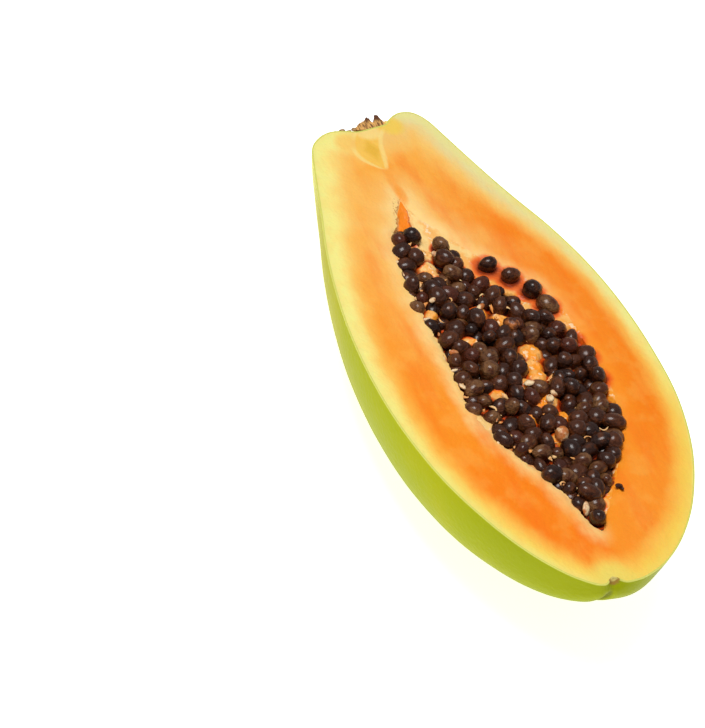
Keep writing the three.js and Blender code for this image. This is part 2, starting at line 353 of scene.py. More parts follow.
CAVITY_LINES = [  # place along X, near edge and far edge
    [-62, -6.4, -5.4],
    [-56, -9.6, -4.6],
    [-45, -15, 1],
    [-34, -17.8, 8.5],
    [-22, -19.4, 20.5],
    [-6, -20.2, 26.5],
    [12, -21.2, 28],
    [26, -21.8, 27],
    [38, -19.8, 24.5],
    [48, -15.5, 20],
    [58, -10, 13],
    [68, -7, 6],
    [76, -5.2, 1.2],
    [80.5, -2.6, -1.6],
]
CAVITY_DEPTH_RATIO = 0.8
CONE_START = -90  # the yellow cone of tissue under the stalk, as it shows in the cut
CONE_LENGTH = 15
CONE_HALF_WIDTH = 4.8
CONE_SIDE = -5.4
CONE_BEND = 8.8
FACE_ROWS = 40
WALL_ROWS = 16
LONE_SEEDS = np.array(  # centres of seeds that lie by themselves at the edge of the heap
    [
        [-43.9, -10.3, 0.2],
        [-38.9, -2.3, 0.5],
        [-29.2, 9.7, 0.4],
        [-23.6, 15.2, 0.4],
        [-17.2, 19.7, 0.3],
        [-10.4, 22, 0],
        [4, 23.4, -0.4],
        [11.6, 24.8, 0],
        [21, 24.4, 0],
        [33.3, 19.2, 0],
        [39.5, 20.8, 0],
        [47.9, 16.8, -0.2],
        [75.6, -2.2, 0.4],
        [66.3, -0.6, 0.8],
        [46.9, -14, 0.8],
        [57, -8.7, 0.4],
    ]
)
STAINING_AND_SHADING_SEEDS = LONE_SEEDS[2:9]

smooth_cavity = spline_through(CAVITY_LINES, np.linspace(0, 1, 600))


def cavity_at(x):
    """Centre, half width and depth of the cavity at places along X."""
    near, far = (np.interp(x, smooth_cavity[:, 0], smooth_cavity[:, k]) for k in (1, 2))
    half = (far - near) / 2
    return (near + far) / 2, half, CAVITY_DEPTH_RATIO * half


def distance_to(points, line):
    """Distance in plan from each point to the nearest of the points of a line."""
    flat, line = (a.reshape(-1, a.shape[-1])[:, :2] for a in (points, line))
    squared = (flat**2).sum(1)[:, None] + (line**2).sum(1) - 2 * flat @ line.T
    return np.sqrt(np.maximum(squared.min(1), 0)).reshape(points.shape[:-1])


def juice_and_shade_by(points, seeds, start, fade):
    """Juice stain and painted shade about the seeds: 1 up to the start, and falling evenly to 0
    over the fade.
    """
    return np.clip(1 - (distance_to(points, seeds) - start) / fade, 0, 1)


def rumple(x, y):
    """Soft unevenness between -1 and 1 over a surface, the sum of waves in four directions."""
    waves = np.sin(0.9 * x + 0.5 * y) + np.sin(1.3 * y - 0.4 * x + 1) + np.sin(0.7 * x - 1.1 * y)
    return (waves + np.sin(2.1 * x + 1.7 * y + 2)) / 4


cavity_steps = steps_along(smooth_cavity[:, [0, 1]], STATIONS)
cavity_x = spline_through(CAVITY_LINES, cavity_steps)[:, 0]
centre, half, depth = cavity_at(cavity_x)
half[[0, -1]] = 0
depth[[0, -1]] = 0
turn = np.linspace(0, np.pi, 2 * WALL_ROWS + 1)
wall = points_at(
    cavity_x[:, None],
    centre[:, None] - half[:, None] * np.cos(turn),
    -depth[:, None] * np.sin(turn),
)

# The knife left the near edge of the cavity a little ragged.
ragged = 0.35 * np.sin(0.7 * cavity_x) + 0.3 * np.sin(1.5 * cavity_x + 1)
ragged += 0.15 * np.sin(3.1 * cavity_x)
ragged *= np.minimum(half / 5, 1)
wall[..., 1] += ragged[:, None] * np.maximum(np.cos(turn), 0)
across = (np.arange(1, FACE_ROWS) / FACE_ROWS)[None, :, None]
near_rim, far_rim = under_skin[:, -1:], under_skin[:, :1]
near_face = near_rim + (wall[:, :1] - near_rim) * across
far_face = wall[:, -1:] + (far_rim - wall[:, -1:]) * across
flesh_rings = np.concatenate([under_skin, near_face, wall, far_face], axis=1)

# The side is -1 on the near half of the face and wall, 1 on the far half and 0 under the peel.
along, side = flesh_rings[..., 0], np.zeros(flesh_rings.shape[:2])
wall_bottom = PEEL_COLUMNS + FACE_ROWS + WALL_ROWS
side[:, PEEL_COLUMNS:wall_bottom] = -1
side[:, wall_bottom:] = 1
from_rim = distance_to(flesh_rings, under_skin[:, [0, -1]])
from_cavity = distance_to(flesh_rings, wall[:, [0, -1]])
band = np.where(
    side > 0,
    np.interp(along, [-80, -55, -30, 30, 80, 95], [15, 12, 8.5, 7.5, 8.5, 11]),
    np.interp(along, [-85, -60, -30, 0, 55, 80], [16, 14, 12, 10.5, 9, 9.5]),
)

# The lip of the cavity is rounded, more on the far side, and the face is a little uneven.
_, width_here, _ = cavity_at(along)
wide = np.clip(width_here / 6, 0, 1)
wide[[0, -1]] = 0
lip_radius = 1.2 + wide * np.where(side > 0, 2.8, 0.8)
lip_drop = 0.2 + wide * np.where(side > 0, 0.9, 0.2)
lip_drop *= np.clip(1 - from_cavity / lip_radius, 0, 1) ** 2
lip_drop += 0.08 + 0.08 * rumple(along / 3, flesh_rings[..., 1] / 2) * (from_rim > 0.5)
lowered = np.minimum(flesh_rings[..., 2], -lip_drop)
flesh_rings[..., 2] = np.where((side != 0) & (from_rim > 0.2), lowered, flesh_rings[..., 2])
flesh = add_mesh(
    "flesh",
    flesh_rings,
    loft(STATIONS, flesh_rings.shape[1]),
    {
        "ripeness": from_rim / band,
        "from_cavity": from_cavity,
        "far_side": (side > 0).astype(float),
        "juice_and_shade": juice_and_shade_by(flesh_rings, STAINING_AND_SHADING_SEEDS, start=2.2, fade=4),
    },
)
surface, place = new_material(
    flesh,
    {
        "Roughness": 0.45,
        "Specular IOR Level": 0.2,
        "Subsurface Weight": 0.1,
        "Subsurface Radius": (1, 0.5, 0.2),
        "Subsurface Scale": 0.002,
    },
)
x, y, z = place.parts()
cloud = place.noise(0.09, detail=4.0) - 0.5
stretched = place.lengthened()
streaks = stretched.noise(0.3, detail=3.0) - 0.5
ripeness = place.attribute("ripeness") + cloud * 0.4 + streaks * 0.2
from_cavity = place.attribute("from_cavity") + cloud * 8 + streaks * 3
beyond_ends = x.rise(66, 80) + 1 - x.rise(-64, -56)
off_axis = (y + 2.1 + (x.rise(80, 100) * 5.5 + (1 - x.rise(-64, -56)) * 3.4)).rise(-4, 4)
far_side = place.attribute("far_side") * (1 - beyond_ends) + off_axis * beyond_ends

# Three colours from the rim inwards, each changing along the fruit and from side to side.
blossomward = x.rise(-80, 50)
near_rim_colour = x.rise(-10, 85).mix(colour(248, 238, 142), colour(248, 220, 100))
far_stem = far_side * (1 - x.rise(-75, 20))
near_rim_colour = (far_stem * 0.9).mix(near_rim_colour, colour(228, 218, 160))
far_blossom = far_side * x.rise(0, 60)
near_rim_colour = far_blossom.mix(near_rim_colour, colour(249, 208, 84))
very_edge = 1 - place.attribute("ripeness").rise(0.05, 0.35)
very_edge *= 1 - far_side * x.rise(-60, -20) * 0.7
near_rim_colour = (very_edge * 0.5).mix(near_rim_colour, colour(240, 230, 132))
mid_colour = blossomward.mix(colour(251, 200, 106), colour(252, 188, 74))
deep_colour = blossomward.mix(colour(252, 170, 64), colour(252, 144, 26))
far_deep = far_side * x.rise(-80, -35)
deep_colour = (far_deep * 0.9).mix(deep_colour, colour(251, 132, 14))
far_paler = far_side * x.rise(35, 60)
deep_colour = (far_paler * 0.8).mix(deep_colour, colour(253, 150, 40))
near_deeper = (1 - far_side) * x.rise(40, 60)
deep_colour = (near_deeper * 0.8).mix(deep_colour, colour(252, 128, 12))
flesh_colour = ripeness.rise(0.1, 0.7).mix(near_rim_colour, mid_colour)
flesh_colour = ripeness.rise(0.4, 1.15).mix(flesh_colour, deep_colour)
stemward = (1 - x.rise(-50, 30)) * (1 - far_side * x.rise(-45, -25) * 0.8)
pale_inner = (1 - from_cavity.rise(2, 17)) * stemward * 0.75
flesh_colour = pale_inner.mix(flesh_colour, colour(251, 198, 112))
far_edge = x.rise(-45, 10)
lip_colour = (far_side * far_edge).mix(colour(253, 214, 138), colour(252, 148, 32))
pale_lip = 1 - from_cavity.rise(0, 7)
flesh_colour = (pale_lip * 0.9).mix(flesh_colour, lip_colour)
mottle = place.noise(0.12, detail=3.0).rise(0.45, 0.65)
flesh_colour = (mottle * 0.2).mix(flesh_colour, colour(255, 194, 90))
redder = stretched.noise(0.12, detail=3.0).rise(0.48, 0.66) * ripeness.rise(0.6, 1.2)
flesh_colour = (redder * 0.35).mix(flesh_colour, colour(250, 112, 14))


def spot(x, y, inner, outer):
    """1 in a soft spot round x = y = 0 and 0 beyond it: the sum of their squares rises from the
    inner to the outer number."""
    return 1 - (x**2 + y**2).rise(inner, outer)


# The cone bends sideways as a parabola and narrows from its mouth at the stalk to a tip.
along_cone = (x - CONE_START) / CONE_LENGTH
cone_middle = CONE_SIDE - along_cone * (1 - along_cone) * CONE_BEND
narrowing = along_cone.sum("MAXIMUM", 1 - abs(along_cone) ** 3, 0)
cone_side = abs(y - cone_middle) - narrowing**0.8 * CONE_HALF_WIDTH + streaks * 1.5
before_tip = 1 - x.rise(-76.5, -74)
inside_cone = (1 - cone_side.rise(-0.6, 0.3)) * before_tip
cone_edge = (1 - abs(cone_side).rise(0.3, 1.2)) * before_tip
shoulder = spot(x + 91, (y + 1) * 0.8, 6, 130)
flesh_colour = (shoulder * 0.8).mix(flesh_colour, colour(247, 190, 98))
flesh_colour = (inside_cone * 0.9).mix(flesh_colour, colour(248, 196, 84))
cone_heart = inside_cone * (1 - (abs(y + 6.2) + abs(x + 84) * 0.6).rise(1, 4.5))
flesh_colour = (cone_heart * 0.7).mix(flesh_colour, colour(228, 176, 50))
flesh_colour = (cone_edge * 0.8).mix(flesh_colour, colour(250, 216, 128))
left_of_cone = spot(x + 88.5, y + 13.5, 2, 24)
flesh_colour = (left_of_cone * 0.6).mix(flesh_colour, colour(249, 186, 84))
below_cone = (1 - abs(y + 5.6 + streaks * 6).rise(0.5, 2.6)) * x.rise(-77, -73)
below_cone *= 1 - x.rise(-64, -61)
flesh_colour = (below_cone * 0.5).mix(flesh_colour, colour(250, 158, 56))
above_groove = spot((x + 63.5) * 0.4, y + 5, 0.3, 5)
flesh_colour = (above_groove * 0.75).mix(flesh_colour, colour(250, 154, 48))
near_groove = spot((x + 56) * 0.2, y + 9.6 + (x + 56) * 0.3, 0.5, 3)
near_groove *= (1 - far_side) * z.rise(-0.9, -0.4)
specks = place.noise(1.3, detail=0.0).rise(0.54, 0.6) * near_groove
flesh_colour = (specks * 0.6).mix(flesh_colour, colour(160, 78, 24))
cone_mouth = spot((x + 92) * 0.8, (y + 4) * 0.6, 2, 11)
flesh_colour = (cone_mouth * 0.6).mix(flesh_colour, colour(252, 226, 150))
right_of_stub = spot(x + 94, y - 5, 4, 26)
flesh_colour = (right_of_stub * 0.9).mix(flesh_colour, colour(244, 204, 84))
by_scar = spot(x - 99, y - SCAR_SIDE, 10, 90)
flesh_colour = (by_scar * 0.8).mix(flesh_colour, colour(238, 214, 100))


def stained_and_shaded(base, juice_and_shade):
    """A colour stained by the seeds' juice and shaded next to them: orange-red juice stain where
    there is little, and dark painted shade where it is thick."""
    base = (juice_and_shade.rise(0.05, 0.5) * 0.85).mix(base, colour(238, 84, 4))
    return (juice_and_shade.rise(0.4, 0.9) * 0.9).mix(base, colour(120, 34, 6))


# Juice stain round the lone seeds, with painted shade dark right next to them.
uneven = (place.noise(0.3, detail=3.0) - 0.5) * 0.7
flesh_colour = stained_and_shaded(flesh_colour, place.attribute("juice_and_shade") * (1 + uneven * 2))
inside_cavity = 1 - z.rise(-3.5, -0.8)
flesh_colour = (inside_cavity * 0.6).mix(flesh_colour, colour(226, 116, 40))
flesh_colour.feed(surface, "Base Color")
fibres = place.noise(0.6, detail=1.0) + stretched.noise(0.4, detail=1.0) * 0.4
fibres.bump(0.2).feed(surface, "Normal")
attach(flesh, "root")
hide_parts("half_fruit")


# Seeds: round and nearly black, each in a thin coat of wet jelly, heaped in the cavity where the
# strands that bore them let go. 144 lie on top and 87 show between them, and along the near edge
# some lean out over the flesh.

SEED_AXES = np.array([3.25, 2.7, 2.6])
BALL_AROUND = 12
BALL_RINGS = 8
HIGHEST_SEED = 3.86
HEAP_START = -46
HEAP_LENGTH = 115
EDGE_START = -36
EDGE_STRIP = 3.5
EDGE_LEAN = 1.6
TISSUE_GAPS = np.array(  # where pale tissue shows in the heap: X, Y and radius
    [
        [-39.4, -9.6, 2.6],
        [-36.5, -6.2, 1.8],
        [-31.4, -9.9, 2.6],
        [-28.2, -9.2, 1.8],
        [-12.6, -16.7, 1.6],
        [-12.4, 17.6, 3.8],
        [-11.2, -1.2, 2.2],
        [-6.9, 4.4, 2.6],
        [0.7, -9.2, 2.3],
        [7.3, 8.2, 3.2],
        [13, 6.6, 2.4],
        [16.9, 6.0, 2.4],
        [19.9, 0.5, 2.2],
        [27.4, 5.6, 2.2],
        [29.0, 1.7, 2.0],
        [22.2, -10.1, 1.9],
        [33.9, -4.9, 2.1],
        [34.6, 6.3, 1.8],
        [43, 1.2, 2.3],
    ]
)
HEAP_LIMITS = np.array(  # how far the heap reaches: place along X, near side and far side
    [
        [-62, -7, -5.4],
        [-58, -8.6, -5.6],
        [-50, -12, -7],
        [-46, -14.5, -9],
        [-43, -15.8, -9],
        [-39, -17.2, -8],
        [-37.5, -17.5, 0.5],
        [-36, -18, 1.5],
        [-27, -20, 2.5],
        [-23, -20.3, 3.5],
        [-21.5, -20.4, 8.5],
        [-18, -20.5, 11],
        [-15.5, -20.5, 15.5],
        [-11, -20.2, 17.5],
        [-6, -19.6, 21],
        [-2, -18.4, 24],
        [4, -18.5, 26.8],
        [10, -19.7, 28],
        [18, -20.8, 27.4],
        [26, -20.8, 24.5],
        [33, -16, 25.3],
        [36, -15, 24.8],
        [39, -19.5, 24],
        [44, -17, 22.5],
        [50, -13.5, 18],
        [52, -9.5, 16],
        [56, -9.5, 13],
        [60, -8.5, 10.5],
        [64, -5.6, 7.2],
        [67, -4.6, 3.5],
        [70, -4.2, 2.2],
        [74, -4.8, 1.2],
        [80.5, -2.6, -1.6],
    ]
)


def limits_at(x):
    """Near side and far side of the heap at places along X."""
    return (np.interp(x, HEAP_LIMITS[:, 0], HEAP_LIMITS[:, k]) for k in (1, 2))


def heap_height(x, y):
    """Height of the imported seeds: a little under the cut at the sides, and rising to the middle
    as a parabola."""
    near, far = limits_at(x)
    middle, half = (near + far) / 2, np.maximum(far - near, 1) / 2
    u = np.minimum(np.abs((y - middle) / half), 1)
    _, _, depth = cavity_at(x)
    return np.maximum(-1.0, 1.2 - depth) + np.minimum(0.9, 0.2 * half) * (1 - u**2)


def draws_from(state):
    """Evenly spread numbers from 0 to 1, the same on each run."""
    while True:
        state = state * 48271 % 2147483647
        yield state / 2147483647


def placed_seeds(seeds, draws, tries, spacing, rise, jitter, gap_margin):
    """Adds every random place that is inside the heap's limits, clear of its gaps and far
    enough from the seeds already there."""
    for _ in range(tries):
        x = HEAP_START + HEAP_LENGTH * next(draws)
        near, far = limits_at(x)
        y = near + (far - near) * next(draws)
        z = heap_height(x, y) + rise - jitter * next(draws)
        gaps = np.hypot(x - TISSUE_GAPS[:, 0], y - TISSUE_GAPS[:, 1])
        in_gap = (gaps < TISSUE_GAPS[:, 2] + gap_margin).any()
        apart = np.linalg.norm(np.array(seeds) - [x, y, z], axis=1).min()
        if near + 0.9 <= y <= far - 1.2 and not in_gap and apart >= spacing:
            seeds.append([x, y, z])
    return seeds


def draw_shapes(draws, count):
    """Five numbers from -1 to 1 for each of so many lumps."""
    return np.array([[2 * next(draws) - 1 for _ in range(5)] for _ in range(count)])


def lumps(centres, axes, shapes):
    """Points and faces of closed lumps: balls stretched along three axes, each turned by four of
    its five shape numbers, and uneven by 6% in a wave along its own axes."""
    polar = np.linspace(0, np.pi, BALL_RINGS)[:, None]
    about = np.linspace(0, 2 * np.pi, BALL_AROUND, endpoint=False)
    ball = points_at(np.cos(polar), np.sin(polar) * np.cos(about), np.sin(polar) * np.sin(about))
    ball = ball.reshape(-1, 3)
    i, j, k, r = (shapes[:, 1:] / np.linalg.norm(shapes[:, 1:], axis=1, keepdims=True)).T
    turns = [1 - 2 * (j * j + k * k), 2 * (i * j - k * r), 2 * (i * k + j * r)]
    turns += [2 * (i * j + k * r), 1 - 2 * (i * i + k * k), 2 * (j * k - i * r)]
    turns += [2 * (i * k - j * r), 2 * (j * k + i * r), 1 - 2 * (i * i + j * j)]
    turns = np.stack(turns, -1).reshape(-1, 3, 3)
    uneven = 1 + 0.06 * np.sin(3 * ball + 9 * shapes[:, None, :3]).sum(-1, keepdims=True)
    points = ball * uneven * np.reshape(axes, (-1, 1, 3))
    points = points @ turns.transpose(0, 2, 1) + np.array(centres)[:, None]
    each = loft(BALL_RINGS, BALL_AROUND)
    return points, np.concatenate([each + n * len(ball) for n in range(len(points))])


draws = draws_from(20260)
seeds = LONE_SEEDS.tolist()
seeds = placed_seeds(
    seeds, draws, tries=12000, spacing=4.15, rise=0.9, jitter=2.4, gap_margin=2.0
)
top_layer = len(seeds)
seeds = placed_seeds(
    seeds, draws, tries=6000, spacing=3.8, rise=-1.9, jitter=1.6, gap_margin=1.5
)
seeds = np.array(seeds)
shapes = draw_shapes(draws, len(seeds))

# Seeds of the top layer in the strip along the near edge lean outwards, each by its own amount.
near, far = limits_at(seeds[:, 0])
at_edge = np.clip(1 - (seeds[:, 1] - near) / EDGE_STRIP, 0, 1)
at_edge[: len(LONE_SEEDS)] = 0
at_edge[top_layer:] = 0
at_edge *= seeds[:, 0] > EDGE_START
seeds[:, 1] -= EDGE_LEAN * at_edge * (shapes[:, 4] + 1)

seed_sizes = 0.8 + 0.36 * np.sqrt((shapes[:, :1] + 1) / 2)
bodies, seed_faces = lumps(seeds, SEED_AXES * seed_sizes, shapes)
bodies[..., 2] = np.minimum(bodies[..., 2], HIGHEST_SEED)
tone = np.broadcast_to((shapes[:, 1:2] + 1) / 2, bodies.shape[:2])
seed_heap = add_mesh("seed_heap", bodies, seed_faces, {"tone": tone}, sharp=80)
surface, place = new_material(
    seed_heap,
    {
        "Roughness": 0.5,
        "Specular IOR Level": 0.1,
        "Coat Weight": 0.9,
        "Coat Roughness": 0.24,
        "Coat IOR": 1.42,
    },
)
tone = place.attribute("tone")
blotches = place.noise(0.3, detail=3.0)
seed_colour = tone.rise(0.1, 1).mix(colour(38, 12, 3), colour(84, 39, 10))
seed_colour = (blotches.rise(0.5, 0.7) * 0.6).mix(seed_colour, colour(108, 54, 18))
greyish = tone.rise(0.74, 0.82) * blotches.rise(0.4, 0.6)
seed_colour = (greyish * 0.65).mix(seed_colour, colour(134, 94, 56))
reddish = (1 - tone.rise(0.04, 0.07)) * 0.7
seed_colour = reddish.mix(seed_colour, colour(92, 38, 14))
seed_colour.feed(surface, "Base Color")
pitted = place.noise(0.8, detail=2.0) + place.noise(2.0, detail=1.0) * 0.3
pitted.bump(1.3).feed(surface, "Normal")
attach(seed_heap, "root")
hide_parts("seeds")


# Seed bed: the juicy tissue that bore the seeds, grown on the wall of the cavity. It is painted
# dark red-brown under the heap as shade between the seeds, and pale where it stands up in the
# gaps and along the edges.

BED_STATIONS = 240
BED_ACROSS = 90
BED_UNDER = 24
BED_START = 0.01 * np.pi


def eased(share):
    """A share from 0 to 1, made smooth at both ends: 3 times its square less twice its cube."""
    return share * share * (3 - 2 * share)


bed_x = np.linspace(-61.8, 80, BED_STATIONS)[:, None]
centre, half, depth = cavity_at(bed_x)
under = np.linspace(BED_START, np.pi - BED_START, BED_UNDER + 2)[1:-1]
u = np.linspace(-1, 1, BED_ACROSS) * np.cos(BED_START)
lap = 0.3 + np.minimum(half / 6, 1)
inner, down = half + lap, np.maximum(depth - 0.25, 0.2)
bottom_z = -np.maximum(down * np.sin(under), 2)
bottom = points_at(bed_x, centre + inner * np.cos(under), bottom_z)
bed_y = centre + inner * u
near, far = limits_at(bed_x)

# The tissue is high in the heap's gaps and, as a bank, between the heap and the cavity's lip.
from_gap = np.hypot(bed_x[..., None] - TISSUE_GAPS[:, 0], bed_y[..., None] - TISSUE_GAPS[:, 1])
gap = eased(np.clip(1.4 - from_gap / (TISSUE_GAPS[:, 2] + 0.8), 0, 1).max(-1))
outside = np.maximum(near - bed_y, bed_y - far) + 0.5 * rumple(bed_x * 2, bed_y * 2)
bank = eased(np.clip((outside + 0.3) / 1.6, 0, 1))
lip_height = np.where(u > 0, -0.8, -0.38)
bank_width = np.maximum(inner * (1 - np.abs(u)) + np.maximum(outside, 0.5), 0.5)
to_lip = np.clip(outside / bank_width, 0, 1)
heap = heap_height(bed_x, bed_y)
bank_height = np.minimum(heap - 0.4, lip_height) * (1 - to_lip) + lip_height * to_lip
top_z = heap - 2.2 + 2 * gap + 0.5 * gap * rumple(bed_x * 3, bed_y * 3)
top_z = top_z * (1 - bank) + bank_height * bank
top_z += (0.5 - 0.4 * bank) * rumple(bed_x * 1.6, bed_y * 1.6)
floor_z = -down * np.sin(np.arccos(np.abs(u))) + 0.15
top_z = np.maximum(top_z, np.minimum(floor_z, -np.clip(0.4 + 0.35 * half, 0.5, 1.5)))
top = points_at(bed_x, bed_y, top_z)
bed_rings = np.concatenate([bottom, top], axis=1)
bed_rings[[0, -1]] = bed_rings[[0, -1]].mean(axis=1, keepdims=True)
near_bank = bank * (u < 0) * np.clip((bed_x + 46) / 4, 0, 1)
# Painted shade next to each seed of the top layer, and juice stain with painted shade round the
# lone seeds.
juice_and_shade = juice_and_shade_by(top, seeds[:top_layer], start=2.4, fade=1.4)
juice_and_shade = np.maximum(juice_and_shade, juice_and_shade_by(top, STAINING_AND_SHADING_SEEDS, start=2.2, fade=4))
juice_and_shade = juice_and_shade * (1 - 0.7 * near_bank)
on_top = {
    "paleness": np.maximum(gap, bank),
    "juice_and_shade": juice_and_shade,
    "groove": 1 - np.clip((bed_x + 50) / 4, 0, 1) + 0 * bed_y,
    "near_bank": near_bank,
}
seed_bed = add_mesh(
    "seed_bed",
    bed_rings,
    loft(BED_STATIONS, BED_UNDER + BED_ACROSS),
    {name: np.pad(numbers, ((0, 0), (BED_UNDER, 0))) for name, numbers in on_top.items()},
)
surface, place = new_material(seed_bed, {"Roughness": 0.4, "Specular IOR Level": 0.3})
x, y, _ = place.parts()
mottle = place.noise(0.3, detail=4.0) - 0.5
paleness = place.attribute("paleness") + mottle * 0.5
juice_and_shade = place.attribute("juice_and_shade")
toward_orange = x.rise(-45, 0) * 0.6 + place.noise(0.25, detail=3.0).rise(0.4, 0.6) * 0.5
toward_orange = toward_orange * (1 - place.attribute("near_bank") * 0.8)
pale_colour = toward_orange.mix(colour(253, 214, 138), colour(252, 156, 38))
white_bits = place.noise(0.5, detail=2.0).rise(0.6, 0.68)
pale_colour = (white_bits * 0.7).mix(pale_colour, colour(255, 232, 190))
# Painted shade: the tissue under the heap is dark red-brown where the seeds shade it, and orange
# in the groove at the stem end.
shaded_inside_colour = place.attribute("groove").mix(colour(48, 18, 10), colour(248, 138, 26))
bed_colour = paleness.rise(0.15, 0.45).mix(shaded_inside_colour, colour(196, 98, 36))
bed_colour = paleness.rise(0.4, 0.75).mix(bed_colour, pale_colour)
cream = spot((x + 51) * 0.8, y - 0.5 - (x + 51) * 0.7, 2, 14)
bed_colour = (cream * 0.7).mix(bed_colour, colour(250, 228, 176))
bed_colour = stained_and_shaded(bed_colour, juice_and_shade * (1 + mottle))
bed_colour.feed(surface, "Base Color")
place.noise(0.5, detail=2.0).bump(0.6).feed(surface, "Normal")
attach(seed_bed, "root")
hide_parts("seeds")


# Strands: torn ends of the cream-coloured threads that each seed hung on, left among the seeds.
# Each is a short tube along a bent path, knobbly and tapered to a point at both ends.

STRANDS = 100
STRAND_RINGS = 7
STRAND_AROUND = 6
HIGHEST_STRAND = 3.8
STRANDS_START = -42
STRANDS_LENGTH = 112
numbers = np.array([[next(draws) for _ in range(8)] for _ in range(STRANDS)])
along, across, lift, facing, warm, curl, extent, girth = numbers.T[:, :, None, None]
middle_x = STRANDS_START + STRANDS_LENGTH * along
near, far = limits_at(middle_x)
middle_y = near + 0.3 + (far - near - 2) * across**2
middle_z = heap_height(middle_x, middle_y) + 1.8 * lift - 0.8
heading = 2 * np.pi * facing
forward = points_at(np.cos(heading), np.sin(heading), 0.5 * warm)
sideways = points_at(-np.sin(heading), np.cos(heading), 0)
upward = np.cross(forward, sideways)
reach = np.linspace(-0.5, 0.5, STRAND_RINGS)[:, None]
bend = (reach**2 - 0.1) * (curl - 0.5) * 4
path = points_at(middle_x, middle_y, middle_z) + (1.4 + 2.4 * extent)[..., None] * (
    forward * reach[..., None] + sideways * bend[..., None]
)
about = np.linspace(0, 2 * np.pi, STRAND_AROUND, endpoint=False)
knobs = 1 + 0.45 * np.sin(30 * reach + 40 * extent)
taper = np.sqrt(np.maximum(0.25 - reach**2, 0)) * 2 * (0.25 + 0.45 * girth) * knobs
ring = sideways * np.cos(about)[:, None] + 0.6 * upward * np.sin(about)[:, None]
strand_points = path + taper[..., None] * ring
strand_points[..., 2] = np.minimum(strand_points[..., 2], HIGHEST_STRAND)
each = loft(STRAND_RINGS, STRAND_AROUND)
strand_faces = np.concatenate([each + n * STRAND_RINGS * STRAND_AROUND for n in range(STRANDS)])
warmth = np.broadcast_to(warm, strand_points.shape[:3])
strands = add_mesh("strands", strand_points, strand_faces, {"warmth": warmth}, sharp=80)
surface, place = new_material(strands, {"Roughness": 0.45, "Specular IOR Level": 0.3})
strand_colour = place.attribute("warmth").mix(colour(252, 212, 148), colour(238, 152, 74))
browner = place.noise(0.6, detail=2.0).rise(0.5, 0.7) * 0.6
strand_colour = browner.mix(strand_colour, colour(206, 120, 56))
strand_colour.feed(surface, "Base Color")
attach(strands, "root")
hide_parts("seeds")


# Withered seeds: an unripe white one, an empty coat and dry scraps, lying where they dropped, and
# small torn bits of flesh that the knife left along the near edge of the cavity.

WITHERED = np.array(  # centre, three half lengths, and paleness
    [
        [42.6, 1.5, 0.6, 2.3, 2.2, 2.1, 0.72],
        [71.6, -3.9, 0.2, 2.3, 1.5, 0.9, 0.85],
        [64.6, 10.4, 0.3, 1.5, 0.8, 0.6, 0],
        [65.6, 10.9, 0.2, 1.4, 0.6, 0.5, 0.1],
        [-35.1, -6.5, 1.3, 1.1, 0.9, 0.7, 1],
        [-16.2, -15.4, 1.0, 1.2, 0.9, 0.6, 1],
        [5.8, -18.0, 0.9, 1.4, 0.9, 0.6, 0.9],
        [-2.4, 5.2, 1.3, 2.6, 2.4, 2.2, 0.35],
        [-11.5, -1.2, 0.9, 1.5, 0.9, 0.7, 0.8],
        [28.3, 4.2, 1.0, 1.9, 1.2, 0.9, 1],
        [26.4, 6.6, 0.9, 1.6, 1.0, 0.8, 0.9],
        [21.2, 0.6, 0.8, 1.7, 1.3, 0.8, 0.9],
    ]
)
EDGE_BITS_AT = np.array([-34, -29, -24.5, -17, -9.5, -3, 4.5, 12, 19, 27, 33.5, 41.5, 48.5, 59])
EDGE_BIT_AXES = np.array([1.8, 0.8, 0.5])
EDGE_BIT_PALENESS = 0.95
NEARLY_LEVEL = [1, 0.2, 0.2, 1, 1]

near, far = limits_at(EDGE_BITS_AT)
edge_places = points_at(EDGE_BITS_AT, near + 0.4 * np.sin(3 * EDGE_BITS_AT), 0)
edge_sizes = (0.7 + 0.35 * np.sin(5 * EDGE_BITS_AT))[:, None] * EDGE_BIT_AXES
places = np.concatenate([WITHERED[:, :3], edge_places])
sizes = np.concatenate([WITHERED[:, 3:6], edge_sizes])
paleness = np.append(WITHERED[:, 6], np.full(len(edge_places), EDGE_BIT_PALENESS))
withered_points, withered_faces = lumps(
    places, sizes, draw_shapes(draws, len(places)) * NEARLY_LEVEL
)
paleness = np.broadcast_to(paleness[:, None], withered_points.shape[:2])
withered = add_mesh(
    "withered_seeds", withered_points, withered_faces, {"paleness": paleness}, sharp=80
)
surface, place = new_material(withered, {"Roughness": 0.4, "Specular IOR Level": 0.4})
paleness = place.attribute("paleness") - 0.15 + (place.noise(0.4, detail=3.0) - 0.5) * 1.6
withered_colour = paleness.rise(0.05, 0.5).mix(colour(58, 24, 14), colour(190, 110, 52))
withered_colour = paleness.rise(0.55, 0.9).mix(withered_colour, colour(244, 214, 168))
withered_colour.feed(surface, "Base Color")
place.noise(0.8, detail=2.0).bump(0.5).feed(surface, "Normal")
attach(withered, "root")
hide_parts("seeds")


# Stem stub: what is left of the woody stalk, broken off short, brown and torn at its end. It is
# cut lengthwise with the fruit, and its base sits in the flesh.

